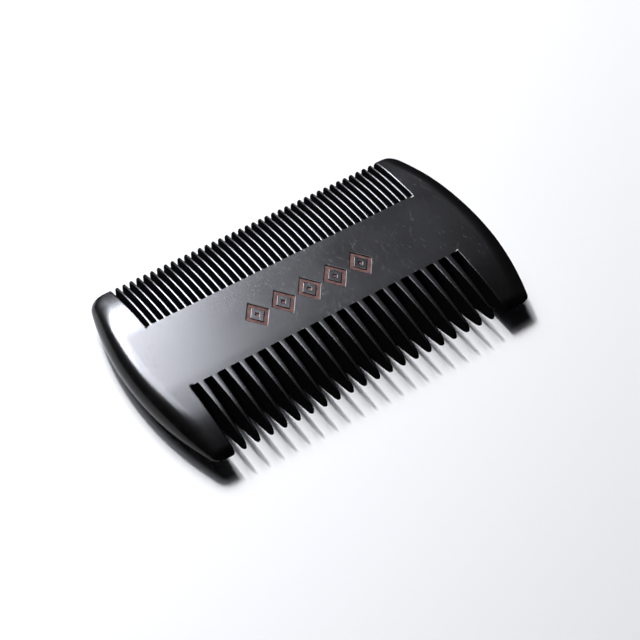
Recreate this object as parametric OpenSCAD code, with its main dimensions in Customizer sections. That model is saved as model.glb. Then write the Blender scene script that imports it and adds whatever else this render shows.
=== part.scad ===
// Double-sided pocket beard comb, cut and sanded from one board of stained hardwood.
// It lies flat: X runs along the tooth rows, Y from the coarse tips to the fine tips, Z up.
// The origin is under the middle of the comb, on the surface that it rests on.
// Coarse and fine teeth, four corner guards and the spine meet face to face at the two root lines.

/* [Board] */
// Thickness of the flat spine
comb_thickness = 9.5; // [8:0.1:12]
// Width of the flat spine, from the coarse roots to the fine roots
spine_w = 21.8; // [16:0.2:30]
// Wood between the outermost slot and the end of the comb, at its fullest
guard_w = 10.6; // [8.5:0.1:14]
// Plan radius of the bowed ends
end_bow_r = 84; // [70:1:140]
// Plan radius of the two corners beside the coarse teeth
coarse_corner_r = 2.2; // [1.5:0.1:3.5]
// Plan radius of the two corners beside the fine teeth
fine_corner_r = 4.2; // [1.5:0.1:5]

/* [Coarse teeth] */
// Number of coarse teeth
coarse_count = 20; // [12:1:24]
// Spacing of the coarse teeth, centre to centre
coarse_pitch = 3.8; // [3.1:0.05:4.6]
// Width of a coarse tooth at its root
coarse_tooth_w = 1.64; // [1.3:0.02:2]
// Width of a coarse tooth where its round tip starts
coarse_tip_w = 0.8; // [0.5:0.02:1.3]
// Length of a coarse tooth
coarse_length = 19.8; // [15:0.1:24]
// Thickness of the board at the coarse tips
coarse_tip_t = 3.0; // [2:0.1:4]
// How far the coarse row sits off the middle of the comb
coarse_shift = -1.3; // [-2:0.1:2]

/* [Fine teeth] */
// Number of groups of fine teeth
fine_groups = 13; // [8:1:15]
// Fine teeth in each group
fine_per_group = 3; // [2:1:3]
// Spacing of the fine teeth, centre to centre
fine_pitch = 2.0; // [1.65:0.05:2.4]
// Width of a fine tooth at its root
fine_tooth_w = 0.84; // [0.7:0.02:1.02]
// Width of a fine tooth where its round tip starts
fine_tip_w = 0.64; // [0.5:0.02:0.7]
// Length of a fine tooth
fine_length = 17.8; // [14:0.1:22]
// Thickness of the board at the fine tips
fine_tip_t = 4.2; // [2:0.1:4.4]

/* [Engraved band] */
// Number of lozenges in the band
lozenge_count = 5; // [3:1:7]
// Spacing of the lozenges, centre to centre
lozenge_pitch = 7.6; // [7.3:0.1:9]
// Length of one lozenge
lozenge_l = 6.8; // [5.8:0.1:7.2]
// Height of one lozenge across the comb
lozenge_h = 9.0; // [7.5:0.1:12]
// Width of the engraved line
engraved_line_w = 1.1; // [0.7:0.05:1.1]
// Depth of the engraving
engraved_depth = 0.3; // [0.2:0.05:0.5]
// How far the band sits off the middle of the spine, along the comb
band_shift = 0.2; // [-3:0.1:3]
// How far the band sits off the middle of the spine, towards the fine teeth
band_rise = -0.8; // [-1:0.1:1]

/* [Hidden] */
$fn = 96;
// A cutting solid reaches this far past the face that it cuts
past = 1;
// Small step that keeps a corner curve from grazing the face beside it
graze = 0.02;

half_t = comb_thickness / 2;
fine_count = fine_groups * fine_per_group;
coarse_half = (coarse_count * coarse_pitch + coarse_pitch - coarse_tooth_w) / 2;
fine_half = (fine_count * fine_pitch + fine_pitch - fine_tooth_w) / 2;
half_l = max(coarse_half + abs(coarse_shift), fine_half) + guard_w;
half_w = (coarse_length + spine_w + fine_length) / 2;
coarse_root_y = -half_w + coarse_length;
fine_root_y = half_w - fine_length;
band_y = (coarse_root_y + fine_root_y) / 2 + band_rise;
bow_x = half_l - end_bow_r;

// Radius of the arc that leaves the flat spine level and comes down by drop over length
function face_r(length, drop) = (length * length + drop * drop) / (2 * drop);
function two_digits(i) = str(i < 10 ? "0" : "", i);
function coarse_name(i) = str("coarse_tooth_", two_digits(i));
function fine_name(i) = str("fine_teeth_", two_digits(i));

// Carries a Y-Z section along X from x0 to x1
module along_x(x0, x1) {
    translate([x0, 0, 0]) rotate([90, 0, 90]) linear_extrude(x1 - x0) children();
}

// Section of one tooth row, from its root at y = 0 to its tip at y = length:
// two wide arcs thin the board to tip_t, and a round nose, wide enough to meet them, closes the tip
module row_section(length, tip_t) {
    r = face_r(length, half_t - tip_t / 2);
    nose_r = tip_t / 2 / (1 - length / sqrt(r * r - length * length));
    intersection() {
        translate([0, comb_thickness - r]) circle(r);
        translate([0, r]) circle(r);
        union() {
            square([length - nose_r, comb_thickness]);
            intersection() {
                translate([length - nose_r, half_t]) circle(nose_r);
                square([length + past, comb_thickness]);
            }
        }
    }
}

module coarse_section() {
    translate([coarse_root_y, 0]) mirror([1, 0]) row_section(coarse_length, coarse_tip_t);
}

module fine_section() {
    translate([fine_root_y, 0]) row_section(fine_length, fine_tip_t);
}

// Disc whose rim is rounded over the whole thickness; its rim is one bowed end
module end_disc(side) {
    translate([side * bow_x, 0, 0]) rotate_extrude($fn = 180) {
        square([end_bow_r - half_t, comb_thickness]);
        intersection() {
            translate([end_bow_r - half_t, half_t]) circle(half_t);
            square([end_bow_r + past, comb_thickness]);
        }
    }
}

// What the rounding of one corner removes, drawn for the corner at +X +Y
module corner_waste(corner_r) {
    reach = end_bow_r - corner_r + graze;
    cy = half_w - corner_r + graze;
    cx = bow_x + sqrt(reach * reach - cy * cy);
    far = 4 * corner_r;
    translate([cx, cy, -past]) linear_extrude(comb_thickness + 2 * past) difference() {
        polygon([[0, 0], [0, far], [far, far], [far * (cx - bow_x) / reach, far * cy / reach]]);
        circle(corner_r);
    }
}

// Plan of one tooth, root at y = 0, tip at y = length
module tooth_plan(length, root_w, tip_w) {
    polygon([
        [-root_w / 2, 0], [root_w / 2, 0],
        [tip_w / 2, length - tip_w / 2], [-tip_w / 2, length - tip_w / 2]
    ]);
    translate([0, length - tip_w / 2]) circle(tip_w / 2, $fn = 32);
}

module coarse_tooth(i) {
    x = coarse_shift + (i - (coarse_count + 1) / 2) * coarse_pitch;
    color("#1b1a1c") intersection() {
        along_x(x - coarse_tooth_w, x + coarse_tooth_w) coarse_section();
        translate([x, coarse_root_y, -past]) linear_extrude(comb_thickness + 2 * past)
            mirror([0, 1]) tooth_plan(coarse_length, coarse_tooth_w, coarse_tip_w);
    }
}

module fine_tooth(x) {
    intersection() {
        along_x(x - fine_tooth_w, x + fine_tooth_w) fine_section();
        translate([x, fine_root_y, -past]) linear_extrude(comb_thickness + 2 * past)
            tooth_plan(fine_length, fine_tooth_w, fine_tip_w);
    }
}

module fine_teeth(group) {
    first = (group - 1) * fine_per_group + 1;
    color("#222123") for (i = [first:first + fine_per_group - 1])
        fine_tooth((i - (fine_count + 1) / 2) * fine_pitch);
}

// Corner of the comb beyond the last slot; side is -1 for left and 1 for right
module coarse_guard(side) {
    wall = side * coarse_shift + coarse_half;
    color("#161517") mirror([side < 0 ? 1 : 0, 0, 0]) difference() {
        intersection() {
            along_x(wall, half_l + past) coarse_section();
            end_disc(1);
        }
        mirror([0, 1, 0]) corner_waste(coarse_corner_r);
    }
}

module fine_guard(side) {
    color("#161517") mirror([side < 0 ? 1 : 0, 0, 0]) difference() {
        intersection() {
            along_x(fine_half, half_l + past) fine_section();
            end_disc(1);
        }
        corner_waste(fine_corner_r);
    }
}

module lozenge(l, h) {
    polygon([[-l / 2, 0], [0, -h / 2], [l / 2, 0], [0, h / 2]]);
}

// Row of open lozenges, each with a small solid one in the middle
module engraved_band() {
    line_l = engraved_line_w * sqrt(1 + pow(lozenge_l / lozenge_h, 2));
    line_h = engraved_line_w * sqrt(1 + pow(lozenge_h / lozenge_l, 2));
    for (i = [1:lozenge_count])
        translate([(i - (lozenge_count + 1) / 2) * lozenge_pitch, 0]) {
            difference() {
                lozenge(lozenge_l, lozenge_h);
                lozenge(lozenge_l - 2 * line_l, lozenge_h - 2 * line_h);
            }
            lozenge(lozenge_l - 4 * line_l, lozenge_h - 4 * line_h);
        }
}

module spine() {
    color("#1d1c1e") difference() {
        intersection() {
            translate([-half_l - past, coarse_root_y, 0])
                cube([2 * (half_l + past), spine_w, comb_thickness]);
            end_disc(-1);
            end_disc(1);
        }
        translate([band_shift, band_y, comb_thickness - engraved_depth])
            linear_extrude(engraved_depth + past) engraved_band();
    }
}

spine();
coarse_guard(-1);  // coarse_guard_left
coarse_guard(1);  // coarse_guard_right
fine_guard(-1);  // fine_guard_left
fine_guard(1);  // fine_guard_right
for (i = [1:coarse_count]) coarse_tooth(i);
for (i = [1:fine_groups]) fine_teeth(i);
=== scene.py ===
import math

import bmesh
import bpy
import numpy as np
from mathutils import Matrix, Vector


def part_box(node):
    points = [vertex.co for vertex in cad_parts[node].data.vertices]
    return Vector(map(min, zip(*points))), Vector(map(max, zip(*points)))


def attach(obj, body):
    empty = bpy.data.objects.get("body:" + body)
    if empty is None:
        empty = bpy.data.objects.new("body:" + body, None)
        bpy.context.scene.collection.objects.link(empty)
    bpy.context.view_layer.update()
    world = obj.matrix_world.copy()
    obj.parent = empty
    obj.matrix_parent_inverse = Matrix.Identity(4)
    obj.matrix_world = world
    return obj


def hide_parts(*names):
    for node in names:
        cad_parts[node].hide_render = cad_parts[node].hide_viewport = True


# A double-sided pocket beard comb, cut from one ebonised board. Shapes are worked out
# in millimetres and go into the meshes in metres.
mm = 0.001

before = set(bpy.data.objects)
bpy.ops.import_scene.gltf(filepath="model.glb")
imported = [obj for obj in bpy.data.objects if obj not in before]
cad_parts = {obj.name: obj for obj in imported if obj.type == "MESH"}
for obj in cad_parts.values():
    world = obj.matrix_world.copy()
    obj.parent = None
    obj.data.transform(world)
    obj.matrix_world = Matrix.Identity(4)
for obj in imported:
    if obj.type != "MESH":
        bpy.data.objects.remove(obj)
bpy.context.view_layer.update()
print("frame loaded,", len(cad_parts), "nodes")


def boxInMm(node):
    low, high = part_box(node)
    return np.array(low) / mm, np.array(high) / mm


# where the board's features lie, read from the frame; way is the side of the root line, along Y,
# that the teeth are on
spineLow, spineHigh = boxInMm("spine")
middle = spineHigh[2] / 2
halfLength = spineHigh[0]
rows = {
    "coarse": {"way": -1, "root": spineLow[1], "tip": boxInMm("coarse_tooth_01")[0][1]},
    "fine": {"way": 1, "root": spineHigh[1], "tip": boxInMm("fine_teeth_01")[1][1]},
}
for row, at in rows.items():
    at["length"] = abs(at["tip"] - at["root"])
    at["walls"] = {-1: boxInMm(row + "_guard_left")[1][0], 1: boxInMm(row + "_guard_right")[0][0]}


def smooth(t):
    # 0 below 0, 1 above 1, and level at both ends
    t = np.clip(t, 0, 1)
    return t * t * (3 - 2 * t)


def blendRows(start, end, count):
    # evenly spaced columns from start to end, for every row at once
    return start[:, None] + (end - start)[:, None] * np.linspace(0, 1, count + 1)


def carried(x, y, z):
    # a section carried along Y: each row of x and z at its own y, z measured from the board's middle
    return np.stack(np.broadcast_arrays(x, y[:, None], middle + z), -1)


def gridFaces(lines, columns, first):
    i, j = np.meshgrid(np.arange(lines - 1), np.arange(columns - 1), indexing="ij")
    corner = first + i * columns + j
    return np.stack([corner, corner + 1, corner + columns + 1, corner + columns], -1).reshape(-1, 4)


def makePiece(name, grids, materials, nodes, crease=32):
    # grids is a list of (points as lines x columns x 3 in mm, material index of each face or one for all);
    # their shared borders are merged, so that the piece is one closed surface
    points, faces, inks, first = [], [], [], 0
    for grid, ink in grids:
        lines, columns = grid.shape[:2]
        points.append(grid.reshape(-1, 3))
        faces.append(gridFaces(lines, columns, first))
        inks.append(np.broadcast_to(ink, (lines - 1, columns - 1)).reshape(-1))
        first += lines * columns
    mesh = bpy.data.meshes.new(name)
    mesh.from_pydata(np.concatenate(points) * mm, [], np.concatenate(faces).tolist())
    mesh.polygons.foreach_set("material_index", np.concatenate(inks).astype(np.int32))
    shape = bmesh.new()
    shape.from_mesh(mesh)
    bmesh.ops.remove_doubles(shape, verts=shape.verts, dist=0.0015 * mm)
    bmesh.ops.dissolve_degenerate(shape, edges=shape.edges, dist=0.0005 * mm)
    bmesh.ops.recalc_face_normals(shape, faces=shape.faces)
    openEdges = sum(1 for edge in shape.edges if len(edge.link_faces) != 2)
    if openEdges:
        print("  open edges on", name, openEdges)
    shape.to_mesh(mesh)
    shape.free()
    for material in materials:
        mesh.materials.append(material)
    mesh.polygons.foreach_set("use_smooth", np.ones(len(mesh.polygons), bool))
    mesh.set_sharp_from_angle(angle=math.radians(crease))
    piece = bpy.data.objects.new(name, mesh)
    bpy.context.scene.collection.objects.link(piece)
    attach(piece, "root")
    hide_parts(*nodes)
    return piece


def hexToLinear(code):
    channels = np.array([int(code[i:i + 2], 16) for i in (1, 3, 5)]) / 255
    linear = np.where(channels <= 0.04045, channels / 12.92, ((channels + 0.055) / 1.055) ** 2.4)
    return (*linear.tolist(), 1.0)


def addNode(tree, kind, settings=None, links=None):
    # settings: socket name or node property to value; links: socket name to another node's output
    node = tree.nodes.new(kind)
    for key, value in (settings or {}).items():
        if hasattr(node, key) and key not in node.inputs:
            setattr(node, key, value)
        else:
            node.inputs[key].default_value = value
    for key, source in (links or {}).items():
        tree.links.new(source, node.inputs[key])
    return node


def newMaterial(name):
    material = bpy.data.materials.new(name)
    material.use_nodes = True
    return material, material.node_tree, material.node_tree.nodes["Principled BSDF"]


ebonyLook = {
    # stain sunk into dense wood, and where it rubbed thin, with their places in the grain
    "stain": ((0.35, "#0c0b0c"), (0.7, "#141314")),
    "ior": 1.35,              # a thin wax film, weaker than a lacquer
    "roughness": 0.2,         # sanded to about 400 grit, then waxed and buffed
    "roughnessSpread": 0.02,
    "grainWidth": 0.35,       # mm; the real 0.1 mm fibres are too fine to show, so drawn this coarse
    "grainLength": 9.0,       # mm
    "grainDepth": 0.0016,     # mm
    "poreSize": 0.28,         # mm; real pores are about half of it
    "poreLength": 1.6,        # mm
    "poreDepth": 0.006,       # mm
    "poreEdge": (0.1, 0.24),  # where a pore's floor ends and its rim begins, as shares of its cell
    "cloudSize": 22.0,        # mm, patches of thicker and thinner wax
}


def makeEbonisedWood(look):
    # Ebonised pearwood: close grain stained black through, fine sanded, waxed and buffed.
    # The eye gets a near-black satin board with a soft wide sheen and faint short pores.
    material, tree, shader = newMaterial("ebonisedWood")
    place = addNode(tree, "ShaderNodeTexCoord").outputs["Object"]
    # grain runs along the teeth, so patterns are drawn out along Y
    grainWidth, grainLength = look["grainWidth"] * mm, look["grainLength"] * mm
    grainSpace = addNode(tree, "ShaderNodeMapping", {
        "Scale": (1 / grainWidth, 1 / grainLength, 1 / grainWidth),
    }, {"Vector": place})
    grain = addNode(tree, "ShaderNodeTexNoise", {"Scale": 1.0, "Detail": 4.0, "Roughness": 0.6},
                    {"Vector": grainSpace.outputs["Vector"]})
    poreSize, poreLength = look["poreSize"] * mm, look["poreLength"] * mm
    poreSpace = addNode(tree, "ShaderNodeMapping", {
        "Scale": (1 / poreSize, 1 / poreLength, 1 / poreSize),
    }, {"Vector": place})
    pore = addNode(tree, "ShaderNodeTexVoronoi", {"Scale": 0.5, "Randomness": 1.0},
                   {"Vector": poreSpace.outputs["Vector"]})
    poreFloor, poreRim = look["poreEdge"]
    poreMask = addNode(tree, "ShaderNodeMapRange", {
        "interpolation_type": "SMOOTHSTEP",
        "From Min": poreFloor, "From Max": poreRim, "To Min": 1.0, "To Max": 0.0,
    }, {"Value": pore.outputs["Distance"]})
    ramp = addNode(tree, "ShaderNodeValToRGB", None, {"Fac": grain.outputs["Fac"]})
    for stop, (position, code) in zip(ramp.color_ramp.elements, look["stain"]):
        stop.position, stop.color = position, hexToLinear(code)
    tree.links.new(ramp.outputs["Color"], shader.inputs["Base Color"])
    # the wax is a little glossier in some patches than in others
    cloud = addNode(tree, "ShaderNodeTexNoise", {"Scale": 1 / (look["cloudSize"] * mm), "Detail": 3.0},
                    {"Vector": place})
    rough = addNode(tree, "ShaderNodeMapRange", {
        "From Min": 0.3, "From Max": 0.7,
        "To Min": look["roughness"] - look["roughnessSpread"],
        "To Max": look["roughness"] + look["roughnessSpread"],
    }, {"Value": cloud.outputs["Fac"]})
    tree.links.new(rough.outputs["Result"], shader.inputs["Roughness"])
    fibres = addNode(tree, "ShaderNodeBump", {"Strength": 1.0, "Distance": look["grainDepth"] * mm},
                     {"Height": grain.outputs["Fac"]})
    pits = addNode(tree, "ShaderNodeBump", {
        "Strength": 1.0, "Distance": look["poreDepth"] * mm, "invert": True,
    }, {"Height": poreMask.outputs["Result"], "Normal": fibres.outputs["Normal"]})
    tree.links.new(pits.outputs["Normal"], shader.inputs["Normal"])
    shader.inputs["IOR"].default_value = look["ior"]
    return material


engravedLook = {
    # lightly scorched wood and the clean floor beside it, with their places in the mottle
    "burn": ((0.3, "#4a302d"), (0.62, "#86605a")),
    "ior": 1.2,               # dry and open, so it hardly shines
    "roughness": 0.8,
    "mottle": 1.1,            # mm
    "depth": 0.02,            # mm
}


def makeEngravedWood(look):
    # Bare heartwood opened by laser engraving: rosy brown, matt and lightly scorched.
    # The eye gets a dry, warmer line against the black board.
    material, tree, shader = newMaterial("engravedWood")
    place = addNode(tree, "ShaderNodeTexCoord").outputs["Object"]
    mottle = addNode(tree, "ShaderNodeTexNoise", {
        "Scale": 1 / (look["mottle"] * mm), "Detail": 5.0, "Roughness": 0.65,
    }, {"Vector": place})
    ramp = addNode(tree, "ShaderNodeValToRGB", None, {"Fac": mottle.outputs["Fac"]})
    for stop, (position, code) in zip(ramp.color_ramp.elements, look["burn"]):
        stop.position, stop.color = position, hexToLinear(code)
    tree.links.new(ramp.outputs["Color"], shader.inputs["Base Color"])
    charred = addNode(tree, "ShaderNodeBump", {"Strength": 1.0, "Distance": look["depth"] * mm},
                      {"Height": mottle.outputs["Fac"]})
    tree.links.new(charred.outputs["Normal"], shader.inputs["Normal"])
    shader.inputs["Roughness"].default_value = look["roughness"]
    shader.inputs["IOR"].default_value = look["ior"]
    return material


sawnShadeLook = {
    # darker than the board's own stain: painted shade on the walls between the teeth
    "stain": ((0.0, "#070707"), (1.0, "#0e0d0e")),
    "ior": 1.2,               # bare, unwaxed wood gives hardly any mirror shine
    "roughness": 0.55,
    "markPitch": 0.5,         # mm; the saw's real marks are near 0.1 mm, so drawn this coarse
    "markDepth": 0.004,       # mm
}


def makeSawnWoodShade(look):
    # Walls of the slots, left as the circular saw cut them: matt, with fine marks across, and coloured
    # darker than the waxed faces as painted shade, where shade falls between the teeth.
    # The eye gets slots that stay deep black between the shiny tops of the teeth.
    material, tree, shader = newMaterial("sawnWood")
    place = addNode(tree, "ShaderNodeTexCoord").outputs["Object"]
    marks = addNode(tree, "ShaderNodeTexWave", {
        "bands_direction": "Y", "Scale": 1 / (look["markPitch"] * mm * 2 * math.pi),
        "Distortion": 2.0, "Detail": 2.0,
    }, {"Vector": place})
    ramp = addNode(tree, "ShaderNodeValToRGB", None, {"Fac": marks.outputs["Fac"]})
    for stop, (position, code) in zip(ramp.color_ramp.elements, look["stain"]):
        stop.position, stop.color = position, hexToLinear(code)
    tree.links.new(ramp.outputs["Color"], shader.inputs["Base Color"])
    bumps = addNode(tree, "ShaderNodeBump", {"Strength": 1.0, "Distance": look["markDepth"] * mm},
                    {"Height": marks.outputs["Fac"]})
    tree.links.new(bumps.outputs["Normal"], shader.inputs["Normal"])
    shader.inputs["Roughness"].default_value = look["roughness"]
    shader.inputs["IOR"].default_value = look["ior"]
    return material


ebonisedWood = makeEbonisedWood(ebonyLook)
sawnWood = makeSawnWoodShade(sawnShadeLook)
engravedWood = makeEngravedWood(engravedLook)
print("materials made")


boardForm = {
    # mm
    "bowRadius": 84.0,        # plan radius of the bowed ends
    "rimReach": 4.75,         # how far the round rim reaches in from the ends
    "rootSteps": (0.0, 0.08, 0.2, 0.38, 0.62, 0.95),  # close steps where edges grow out of the root
    "coarse": {
        "corner": 2.2,        # plan radius of the board's corners beside this row
        "tipThick": 3.0,
        "lead": 3.0,          # the faces start to fall this far before the roots
        "nose": 2.0,          # length of the rounding at the tips
    },
    "fine": {"corner": 4.2, "tipThick": 4.2, "lead": 0.6, "nose": 1.0},
}


def halfThickness(y):
    # half the board's thickness at each y: in each row a wide circular arc leaves the flat spine level
    # and comes down to half the tip's thickness, and half an ellipse closes the tip
    half = np.full_like(y, middle)
    for row, at in rows.items():
        form = boardForm[row]
        past = at["way"] * (y - at["root"])
        reach = at["length"] + form["lead"]
        fall = middle - form["tipThick"] / 2
        radius = (reach ** 2 + fall ** 2) / (2 * fall)
        drop = radius - np.sqrt(radius ** 2 - np.clip(past + form["lead"], 0, reach) ** 2)
        t = np.clip((past - (at["length"] - form["nose"])) / form["nose"], 0, 1)
        half = (half - drop) * np.sqrt(1 - t ** 2)
    return half


def endReach(y, corner):
    # half the board's length at each y: the bowed end, then a corner circle that touches it
    # and the tip line
    bow = boardForm["bowRadius"]
    bowCentre = halfLength - bow
    centreY = abs(rows["coarse"]["tip"]) - corner
    centreX = bowCentre + math.sqrt((bow - corner) ** 2 - centreY ** 2)
    turn = bow * centreY / (bow - corner)
    onBow = bowCentre + np.sqrt(bow ** 2 - y ** 2)
    onCorner = centreX + np.sqrt(np.clip(corner ** 2 - (np.abs(y) - centreY) ** 2, 0, None))
    return np.where(np.abs(y) <= turn, onBow, onCorner)


def sectionLoop(left, right, half, leftRound, rightRound, detail, crown=0.0):
    # a closed section across the board for every row at once: top from left to right, right side down,
    # bottom back, left side up; the four corners are quarter ellipses with the given (reach, height),
    # and crown lowers both faces by a parabola towards the sides
    side = detail["side"]
    angle = np.linspace(0, math.pi / 2, detail["quarter"] + 1)
    rise, level = np.sin(angle), 1 - np.cos(angle)
    leftX = left[:, None] + leftRound[0][:, None] * level
    leftZ = half[:, None] - leftRound[1][:, None] * (1 - rise)
    rightX = right[:, None] - rightRound[0][:, None] * level[::-1]
    rightZ = half[:, None] - rightRound[1][:, None] * (1 - rise[::-1])
    flatX = blendRows(leftX[:, -1], rightX[:, 0], detail["flat"])
    topX = np.concatenate([leftX[:, :-1], flatX, rightX[:, 1:]], 1)
    topZ = np.concatenate([leftZ[:, :-1], np.repeat(half[:, None], detail["flat"] + 1, 1), rightZ[:, 1:]], 1)
    across = (topX - (left + right)[:, None] / 2) / np.maximum((right - left)[:, None] / 2, 1e-6)
    topZ = topZ - np.reshape(crown, (-1, 1)) * across ** 2 * topZ / np.maximum(half[:, None], 1e-6)
    downZ = blendRows(topZ[:, -1], -topZ[:, -1], side)[:, 1:-1]
    upZ = blendRows(-topZ[:, 0], topZ[:, 0], side)[:, 1:]
    x = np.concatenate([topX, np.repeat(right[:, None], side - 1, 1), topX[:, ::-1],
                        np.repeat(left[:, None], side, 1)], 1)
    z = np.concatenate([topZ, downZ, -topZ[:, ::-1], upZ], 1)
    return x, z


def stations(row, detail):
    # distances from the root to the tip, and their y: close steps at the root, even ones along the body,
    # and even angles round the nose
    at, nose, root = rows[row], boardForm[row]["nose"], boardForm["rootSteps"]
    noseStart = at["length"] - nose
    body = np.linspace(root[-1], noseStart, detail["bodySteps"])
    tip = noseStart + nose * np.sin(np.linspace(0, math.pi / 2, detail["noseSteps"] + 1)[1:])
    s = np.concatenate([root[:-1], body, tip])
    return s, at["root"] + at["way"] * s


boardDetail = {
    # sizes in mm, and counts of faces
    "edgeRound": 0.28,        # sanded edge along the slots
    "edgeFade": 0.7,          # it grows out of the root over this
    "tipRound": 0.6,          # the same edge where the guard's tip is rounded off
    "tipRoundFrom": 4.0,      # it starts to widen this far from the root
    "tipRoundBy": 1.0,        # and is full this far before the tip
    "insideCorner": 0.5,      # plan rounding of the guard's tip beside the slot
    "rimShare": 0.62,         # the round rim takes no more of the guard's width than this
    "flat": 14,               # across a guard's flat face, and on round the spine's ends
    "side": 8,                # down a slot's wall
    "quarter": 14,            # round half a rim
    "bodySteps": 40,
    "noseSteps": 16,
    "besideBand": 20,
    "belowBand": 10,
    "aboveBand": 12,
}

band = {
    # a row of open lozenges with a small solid one in each; sizes in mm
    "count": 5,
    "pitch": 7.6,
    "length": 6.8,
    "height": 9.0,
    "line": 1.1,
    "depth": 0.3,
    "x": 0.2,
    "y": 0.2,
    "cellHeight": 10.0,
    "edge": 0.05,             # wear where the walls meet the polished face
    "draft": 0.05,            # how far the walls lean
    "step": 8,                # faces along each side of a lozenge
}


def guardGrid(row, side):
    # one corner of the board beyond the last slot: its section carried along Y from the root to the tip
    detail = boardDetail
    length, inside = rows[row]["length"], detail["insideCorner"]
    s, y = stations(row, detail)
    half = halfThickness(y)
    turn = np.clip((s - (length - inside)) / inside, 0, 1)
    inner = abs(rows[row]["walls"][side]) + inside * (1 - np.sqrt(1 - turn ** 2))
    outer = endReach(y, boardForm[row]["corner"])
    start, stop = detail["tipRoundFrom"], length - detail["tipRoundBy"]
    widening = (detail["tipRound"] - detail["edgeRound"]) * smooth((s - start) / (stop - start))
    edge = smooth(s / detail["edgeFade"]) * (detail["edgeRound"] + widening)
    rim = np.minimum(boardForm["rimReach"], (outer - inner) * detail["rimShare"])
    x, z = sectionLoop(inner, outer, half, (edge, np.minimum(edge, half)), (rim, half), detail)
    ink = np.zeros((len(y) - 1, x.shape[1] - 1), int)
    # the slot-side wall takes the sawn material, whose darker colour is painted shade in the slot
    ink[:, -detail["side"]:] = 2
    return carried(side * x, y, z), ink


def bandCell():
    # one engraved lozenge: rings from the rectangle round its cell inwards, each the lozenge moved in by
    # an inset; the rings go down the line's outer wall, over its floor, up its inner wall, over the
    # island, and down into the small solid lozenge
    n, edge, depth, line = band["step"], band["edge"], band["depth"], band["line"]
    share = np.arange(n) / n
    quarter = np.stack([1 - share, share], -1)
    turned = quarter[:, ::-1] * [-1, 1]
    ring = np.concatenate([quarter, turned, -quarter, -turned])
    rectangle = np.clip(2 * ring, -1, 1) * [band["pitch"] / 2, band["cellHeight"] / 2]
    # inset and height on the way over a worn edge and down a wall
    down = np.array([
        (-2.5 * edge, 0), (-edge, 0), (-0.3 * edge, -0.3 * edge), (0, -edge),
        (band["draft"], edge - depth), (band["draft"] + 0.3 * edge, 0.3 * edge - depth),
        (band["draft"] + edge, -depth), (band["draft"] + 2.5 * edge, -depth),
    ])
    up = down[::-1] * [-1, 1]
    profile = np.concatenate([down, [(line / 2, -depth)], up + [line, 0], [(line * 1.5, 0)],
                              down + [line * 2, 0]])
    sizes = np.array([band["length"], band["height"]])
    halves = sizes / 2 - profile[:, :1] * np.sqrt(1 + (sizes / sizes[::-1]) ** 2)
    flat = np.concatenate([rectangle[None], ring * halves[:, None], np.zeros((1, 4 * n, 2))])
    heights = np.concatenate([[0], profile[:, 1], [-depth]])
    grid = np.concatenate([flat, np.broadcast_to(heights[:, None, None], (*flat.shape[:2], 1))], -1)
    # polished top 0, bare floor 1, and walls with their worn edges 2, coloured dark as painted shade in the
    # engraved lines
    ink = np.where(np.diff(heights) != 0, 2, np.where(heights[1:] < 0, 1, 0))
    return np.concatenate([grid, grid[:, :1]], 1), np.repeat(ink[:, None], 4 * n, 1)


def makeBoard(detail):
    grids = [guardGrid(row, side) for row in rows for side in (-1, 1)]
    coarse, fine = rows["coarse"], rows["fine"]
    # lines of points across the spine, with the engraved band's own lines in the middle
    bandLow, bandHigh = band["y"] - band["cellHeight"] / 2, band["y"] + band["cellHeight"] / 2
    y = np.concatenate([
        np.linspace(coarse["root"], bandLow, detail["belowBand"] + 1)[:-1],
        np.linspace(bandLow, bandHigh, band["step"] + 1),
        np.linspace(bandHigh, fine["root"], detail["aboveBand"] + 1)[1:],
    ])
    half = halfThickness(y)
    rimX = endReach(y, boardForm["coarse"]["corner"]) - boardForm["rimReach"]
    share = smooth((y - coarse["root"]) / (fine["root"] - coarse["root"]))
    left, right = (coarse["walls"][side] * (1 - share) + fine["walls"][side] * share for side in (-1, 1))
    bandLeft, bandRight = (band["x"] + side * band["count"] * band["pitch"] / 2 for side in (-1, 1))
    borders = [-rimX, left, np.full_like(y, bandLeft), np.full_like(y, bandRight), right, rimX]
    guard, beside, inBand = detail["flat"], detail["besideBand"], band["count"] * band["step"]
    strips = [blendRows(*ends, count) for *ends, count in
              zip(borders, borders[1:], (guard, beside, inBand, beside, guard))]
    x = np.concatenate([strips[0]] + [strip[:, 1:] for strip in strips[1:]], 1)
    # both faces, with a window in the top for the band
    grids.append((carried(x, y, -half[:, None]), 0))
    top = carried(x, y, half[:, None])
    low, first = detail["belowBand"], guard + beside
    high, last = low + band["step"], first + inBand
    grids += [(top[:low + 1], 0), (top[high:], 0),
              (top[low:high + 1, :first + 1], 0), (top[low:high + 1, last:], 0)]
    cell, cellInk = bandCell()
    for i in range(band["count"]):
        grids.append((cell + [bandLeft + (i + 0.5) * band["pitch"], band["y"], 2 * middle], cellInk))
    # round rims of the two ends: half an ellipse at each y
    angle = np.linspace(math.pi / 2, -math.pi / 2, 2 * detail["quarter"] + 1)
    rim = rimX[:, None] + boardForm["rimReach"] * np.cos(angle)
    grids += [(carried(side * rim, y, half[:, None] * np.sin(angle)), 0) for side in (-1, 1)]
    # slot ends, along each root line between the two outermost walls, in the sawn material whose darker
    # colour is painted shade in the slots
    for end in (0, -1):
        up = np.linspace(half[end], -half[end], detail["side"] + 1)
        grids.append((carried(x[end, guard:-guard], np.full_like(up, y[end]), up[:, None]), 2))
    return makePiece("combBoard", grids, [ebonisedWood, engravedWood, sawnWood],
                     ["spine", "coarse_guard_left", "coarse_guard_right",
                      "fine_guard_left", "fine_guard_right"])


board = makeBoard(boardDetail)
print("board made,", len(board.data.polygons), "faces")


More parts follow.
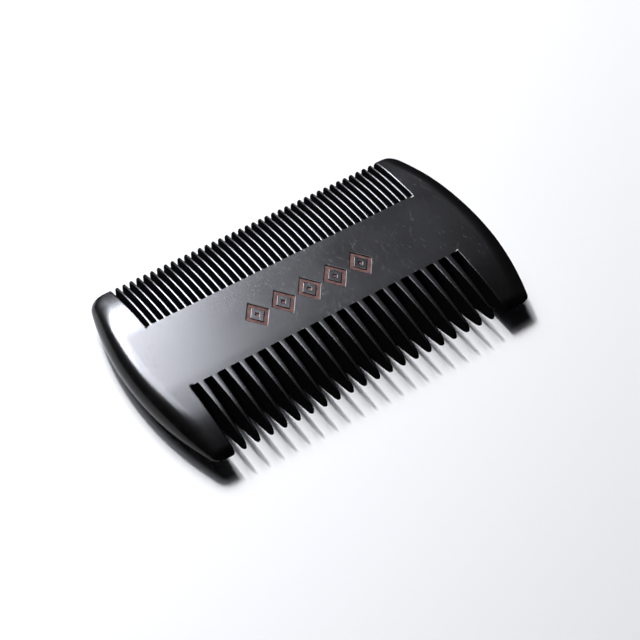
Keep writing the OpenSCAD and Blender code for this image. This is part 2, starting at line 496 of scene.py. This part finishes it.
coarseTooth = {
    # sizes in mm, and counts of faces
    "rootWidth": 1.64,
    "tipWidth": 0.8,
    "edgeAtRoot": 0.13,       # sanded edges, growing to a full round at the tip
    "edgeAtTip": 0.6,
    "crown": 0.02,            # how far the faces fall towards the sides
    "quarter": 6,
    "bodySteps": 26,
    "noseSteps": 10,
    "flat": 6,
    "side": 4,
}

fineTooth = {
    "rootWidth": 0.84,
    "tipWidth": 0.64,
    "edgeAtRoot": 0.16,
    "edgeAtTip": 0.3,
    "crown": 0.06,
    "quarter": 5,
    "bodySteps": 22,
    "noseSteps": 8,
    "flat": 6,
    "side": 4,
}

toothEdge = {
    "fade": 0.6,              # mm; the sanded edge grows out of the root over this
    "growth": 1.5,            # power of its growth towards the tip
    "height": 1.1,            # its height over its reach
    "fullest": 0.98,          # most of the tooth's half width that it takes
}


def toothGrid(row, centre, tooth):
    # one tooth: a rounded section carried along Y from the root to the tip, closed at both ends;
    # width, thickness and edge radius are functions of the distance from the root
    length, tipWidth = rows[row]["length"], tooth["tipWidth"]
    s, y = stations(row, tooth)
    half = halfThickness(y)
    halfWidth = np.interp(s, [0, length - tipWidth / 2], [tooth["rootWidth"] / 2, tipWidth / 2])
    turn = np.clip((s - (length - tipWidth)) / tipWidth, 0, 1)
    halfWidth = halfWidth * np.sqrt(1 - turn ** 2)
    fade = smooth(s / toothEdge["fade"])
    growth = (tooth["edgeAtTip"] - tooth["edgeAtRoot"]) * (s / length) ** toothEdge["growth"]
    edge = fade * (tooth["edgeAtRoot"] + growth)
    corner = np.minimum(edge, halfWidth * toothEdge["fullest"]), np.minimum(edge * toothEdge["height"], half)
    x, z = sectionLoop(centre - halfWidth, centre + halfWidth, half, corner, corner, tooth,
                       tooth["crown"] * fade)
    grid = carried(x, y, z)
    rootPole = np.broadcast_to([centre, y[0], middle], grid[:1].shape)
    # waxed faces and edges 0, sawn sides 1, the sides coloured darker as painted shade between the teeth
    top, side = 2 * tooth["quarter"] + tooth["flat"], tooth["side"]
    ink = np.zeros((len(grid), x.shape[1] - 1), int)
    ink[:, top:top + side] = 1
    ink[:, -side:] = 1
    return np.concatenate([rootPole, grid]), ink


def makeTeeth():
    pieces = []
    for row, node, name, tooth, places in (
        ("coarse", "coarse_tooth_", "coarseTooth", coarseTooth, (0,)),
        ("fine", "fine_teeth_", "fineTeeth", fineTooth, (-1, 0, 1)),
    ):
        for number in sorted(known[-2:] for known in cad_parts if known.startswith(node)):
            low, high = boxInMm(node + number)
            centre, pitch = (low[0] + high[0]) / 2, (high[0] - low[0] - tooth["rootWidth"]) / 2
            grids = [toothGrid(row, centre + place * pitch, tooth) for place in places]
            pieces.append(makePiece(name + number, grids, [ebonisedWood, sawnWood], [node + number],
                                    crease=40))
    return pieces


teeth = makeTeeth()
print("teeth made,", len(teeth), "pieces")


stageLook = {
    "floor": "#f1f1f3",
    "roughness": 0.6,
    "size": 6.0,              # m
    "split": -0.046,          # m, where the two sheets meet
    "world": "#0d0d0e",
}


def makeFloor(look):
    # white table top in two flush sheets; only the one beyond the left end shows in the comb's shine,
    # as if dark cards stood round the other sides
    material, tree, shader = newMaterial("paleFloor")
    shader.inputs["Base Color"].default_value = hexToLinear(look["floor"])
    shader.inputs["Roughness"].default_value = look["roughness"]
    half, split = look["size"] / 2, look["split"]
    for name, left, right, shows in (("floorLeft", -half, split, True), ("floorRight", split, half, False)):
        mesh = bpy.data.meshes.new(name)
        mesh.from_pydata([(left, -half, 0), (right, -half, 0), (right, half, 0), (left, half, 0)],
                         [], [(0, 1, 2, 3)])
        mesh.materials.append(material)
        sheet = bpy.data.objects.new(name, mesh)
        sheet.visible_glossy = shows
        bpy.context.scene.collection.objects.link(sheet)


lamps = {
    # azimuth from +Y towards +X and elevation in degrees, width and height in degrees of arc
    # seen from the comb
    "keyLamp": {"azimuth": 1, "elevation": 50, "width": 5, "height": 10, "watts": 9.4, "glossy": False},
    "wideLamp": {"azimuth": 13, "elevation": 49, "width": 26, "height": 18, "watts": 7.2, "glossy": False},
    "sheenPanel": {"azimuth": -2.5, "elevation": 42, "width": 49, "height": 20, "watts": 81,
                   "diffuse": False, "tint": "#f1f4ff"},
    "topPanel": {"azimuth": 2, "elevation": 61, "width": 60, "height": 18, "watts": 17,
                 "diffuse": False, "tint": "#f1f4ff"},
}
lampDistance = 1.2            # m
lampAim = Vector((0.0, 0.0, 0.0095))


def makeLamp(name, lamp):
    azimuth, elevation = math.radians(lamp["azimuth"]), math.radians(lamp["elevation"])
    out = Vector((math.sin(azimuth) * math.cos(elevation), math.cos(azimuth) * math.cos(elevation),
                  math.sin(elevation)))
    light = bpy.data.lights.new(name, "AREA")
    light.shape = "RECTANGLE"
    light.size = 2 * lampDistance * math.tan(math.radians(lamp["width"]) / 2) * math.cos(elevation)
    light.size_y = 2 * lampDistance * math.tan(math.radians(lamp["height"]) / 2)
    light.energy = lamp["watts"]
    light.color = hexToLinear(lamp.get("tint", "#ffffff"))[:3]
    holder = bpy.data.objects.new(name, light)
    holder.location = lampAim + out * lampDistance
    holder.rotation_euler = out.to_track_quat("Z", "Y").to_euler()
    holder.visible_camera = False
    holder.visible_glossy = lamp.get("glossy", True)
    holder.visible_diffuse = lamp.get("diffuse", True)
    bpy.context.scene.collection.objects.link(holder)


cameraSetup = {
    "azimuth": 33.233,        # degrees; the view direction, from +Y towards +X
    "elevation": 48.926,
    "roll": -0.642,
    "distance": 546.4,        # mm
    "target": (-3.385, -9.87, 9.5),
    "lens": 126.56,           # mm on a 36 mm sensor
}


def makeCamera(setup):
    azimuth, elevation, roll = (math.radians(setup[key]) for key in ("azimuth", "elevation", "roll"))
    ahead = Vector((math.sin(azimuth) * math.cos(elevation), math.cos(azimuth) * math.cos(elevation),
                    -math.sin(elevation)))
    across = Vector((math.cos(azimuth), -math.sin(azimuth), 0))
    upward = across.cross(ahead)
    right = across * math.cos(roll) + upward * math.sin(roll)
    top = upward * math.cos(roll) - across * math.sin(roll)
    place = (Vector(setup["target"]) - ahead * setup["distance"]) * mm
    data = bpy.data.cameras.new("camera")
    data.lens = setup["lens"]
    data.sensor_width = 36
    data.clip_start = 0.01
    camera = bpy.data.objects.new("camera", data)
    camera.matrix_world = Matrix.Translation(place) @ Matrix((right, top, -ahead)).transposed().to_4x4()
    bpy.context.scene.collection.objects.link(camera)
    bpy.context.scene.camera = camera


makeFloor(stageLook)
for name, lamp in lamps.items():
    makeLamp(name, lamp)
makeCamera(cameraSetup)
world = bpy.data.worlds.new("studio")
world.use_nodes = True
world.node_tree.nodes["Background"].inputs["Color"].default_value = hexToLinear(stageLook["world"])
bpy.context.scene.world = world
bpy.context.scene.view_settings.view_transform = "Standard"
print("stage made")
